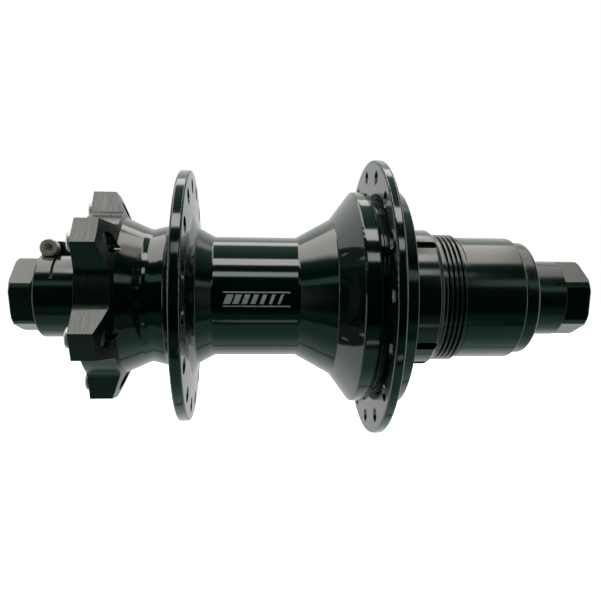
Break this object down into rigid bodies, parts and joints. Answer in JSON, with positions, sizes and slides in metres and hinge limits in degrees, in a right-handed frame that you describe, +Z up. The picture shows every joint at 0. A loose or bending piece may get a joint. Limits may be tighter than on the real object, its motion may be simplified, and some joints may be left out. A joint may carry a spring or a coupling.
{
  "type": "bicycle rear hub",
  "caption": "Rear disc-brake bicycle hub for a through-axle: flanged shell on sealed bearings, one-way ratchet driver, preload collar and push-on hexagonal end caps.",
  "frame": {"origin": "on the axle's centre line, midway between the two end faces", "axes": "+X along the axle towards the cassette side, +Y towards the front of the bicycle, +Z up; the collar's pinch screw is on top"},
  "size_m": [0.148, 0.072, 0.072],
  "materials": {
    "shell_anodised": "polished black anodised aluminium with fine turning marks",
    "driver_anodised": "black anodised aluminium, turned",
    "cap_anodised": "satin black anodised aluminium",
    "collar_anodised": "satin black anodised aluminium",
    "axle_alloy": "bare turned aluminium",
    "ratchet_steel": "hardened ground steel",
    "bearing_steel": "polished bearing steel",
    "screw_steel": "bright stainless steel",
    "spring_steel": "dark phosphated spring steel",
    "magnet_nickel": "nickel plated",
    "seal_rubber": "matt black nitrile",
    "cage_nylon": "moulded nylon"
  },
  "bodies": {
    "axle_set": {"axle": "axle_alloy", "axle_spacer_ring": "axle_alloy", "axle_spacer_tube": "axle_alloy", "disc_bearing_inner_race": "bearing_steel", "drum_bearing_inner_race": "bearing_steel", "driver_inner_bearing_inner_race": "bearing_steel", "driver_outer_bearing_inner_race": "bearing_steel"},
    "hub_shell": {"hub_shell": "shell_anodised", "rotor_screws": "screw_steel", "drive_ring": "ratchet_steel", "disc_side_dust_seal": "seal_rubber", "driver_seal": "seal_rubber", "disc_bearing_outer_race": "bearing_steel", "disc_bearing_seals": "seal_rubber", "drum_bearing_outer_race": "bearing_steel", "drum_bearing_seals": "seal_rubber"},
    "driver": {"driver_body": "driver_anodised", "driver_retaining_ring": "spring_steel", "pawl_magnets": "magnet_nickel", "driver_inner_bearing_outer_race": "bearing_steel", "driver_inner_bearing_seals": "seal_rubber", "driver_outer_bearing_outer_race": "bearing_steel", "driver_outer_bearing_seals": "seal_rubber"},
    "preload_collar": {"preload_collar": "collar_anodised", "pinch_screw": "screw_steel"},
    "disc_side_cap": {"disc_side_end_cap": "cap_anodised", "disc_side_cap_o_ring": "seal_rubber"},
    "drive_side_cap": {"drive_side_end_cap": "cap_anodised", "drive_side_cap_o_ring": "seal_rubber"},
    "disc_bearing_set": {"disc_bearing_balls": "bearing_steel", "disc_bearing_cage": "cage_nylon"},
    "drum_bearing_set": {"drum_bearing_balls": "bearing_steel", "drum_bearing_cage": "cage_nylon"},
    "driver_inner_bearing_set": {"driver_inner_bearing_balls": "bearing_steel", "driver_inner_bearing_cage": "cage_nylon"},
    "driver_outer_bearing_set": {"driver_outer_bearing_balls": "bearing_steel", "driver_outer_bearing_cage": "cage_nylon"},
    "pawl_1": {"pawl_1": "ratchet_steel"},
    "pawl_2": {"pawl_2": "ratchet_steel"},
    "pawl_3": {"pawl_3": "ratchet_steel"},
    "pawl_4": {"pawl_4": "ratchet_steel"},
    "pawl_5": {"pawl_5": "ratchet_steel"},
    "pawl_6": {"pawl_6": "ratchet_steel"}
  },
  "joints": [
    {"name": "hub_spin", "type": "hinge", "parent": "axle_set", "child": "hub_shell", "pos_m": [0, 0, 0], "axis": [-1, 0, 0], "continuous": true},
    {"name": "driver_spin", "type": "hinge", "parent": "axle_set", "child": "driver", "pos_m": [0.03, 0, 0], "axis": [-1, 0, 0], "continuous": true},
    {"name": "disc_bearing_roll", "type": "hinge", "parent": "axle_set", "child": "disc_bearing_set", "pos_m": [-0.0509, 0, 0], "axis": [-1, 0, 0], "continuous": true},
    {"name": "drum_bearing_roll", "type": "hinge", "parent": "axle_set", "child": "drum_bearing_set", "pos_m": [0.006, 0, 0], "axis": [-1, 0, 0], "continuous": true},
    {"name": "driver_inner_bearing_roll", "type": "hinge", "parent": "axle_set", "child": "driver_inner_bearing_set", "pos_m": [0.0155, 0, 0], "axis": [-1, 0, 0], "continuous": true},
    {"name": "driver_outer_bearing_roll", "type": "hinge", "parent": "axle_set", "child": "driver_outer_bearing_set", "pos_m": [0.0495, 0, 0], "axis": [-1, 0, 0], "continuous": true},
    {"name": "pawl_1_tilt", "type": "hinge", "parent": "driver", "child": "pawl_1", "pos_m": [0.0165, -0.00588, 0.01659], "axis": [1, 0, 0], "range_deg": [0, 5.5]},
    {"name": "pawl_2_tilt", "type": "hinge", "parent": "driver", "child": "pawl_2", "pos_m": [0.0165, -0.01731, 0.00321], "axis": [1, 0, 0], "range_deg": [0, 5.5]},
    {"name": "pawl_3_tilt", "type": "hinge", "parent": "driver", "child": "pawl_3", "pos_m": [0.0165, -0.01143, -0.01338], "axis": [1, 0, 0], "range_deg": [0, 5.5]},
    {"name": "pawl_4_tilt", "type": "hinge", "parent": "driver", "child": "pawl_4", "pos_m": [0.0165, 0.00588, -0.01659], "axis": [1, 0, 0], "range_deg": [0, 5.5]},
    {"name": "pawl_5_tilt", "type": "hinge", "parent": "driver", "child": "pawl_5", "pos_m": [0.0165, 0.01731, -0.00321], "axis": [1, 0, 0], "range_deg": [0, 5.5]},
    {"name": "pawl_6_tilt", "type": "hinge", "parent": "driver", "child": "pawl_6", "pos_m": [0.0165, 0.01143, 0.01338], "axis": [1, 0, 0], "range_deg": [0, 5.5]},
    {"name": "collar_turn", "type": "hinge", "parent": "axle_set", "child": "preload_collar", "pos_m": [-0.061, 0, 0], "axis": [1, 0, 0], "range_deg": [-20, 20]},
    {"name": "disc_cap_pull", "type": "slide", "parent": "axle_set", "child": "disc_side_cap", "axis": [-1, 0, 0], "range_m": [0, 0.012]},
    {"name": "drive_cap_pull", "type": "slide", "parent": "axle_set", "child": "drive_side_cap", "axis": [1, 0, 0], "range_m": [0, 0.012]}
  ],
  "couplings": [
    {"joint": "disc_bearing_roll", "follows": "hub_spin", "ratio": 0.58298},
    {"joint": "drum_bearing_roll", "follows": "hub_spin", "ratio": 0.58298},
    {"joint": "driver_inner_bearing_roll", "follows": "driver_spin", "ratio": 0.55581},
    {"joint": "driver_outer_bearing_roll", "follows": "driver_spin", "ratio": 0.55581},
    {"joint": "pawl_2_tilt", "follows": "pawl_1_tilt", "ratio": 1},
    {"joint": "pawl_3_tilt", "follows": "pawl_1_tilt", "ratio": 1},
    {"joint": "pawl_4_tilt", "follows": "pawl_1_tilt", "ratio": 1},
    {"joint": "pawl_5_tilt", "follows": "pawl_1_tilt", "ratio": 1},
    {"joint": "pawl_6_tilt", "follows": "pawl_1_tilt", "ratio": 1}
  ]
}
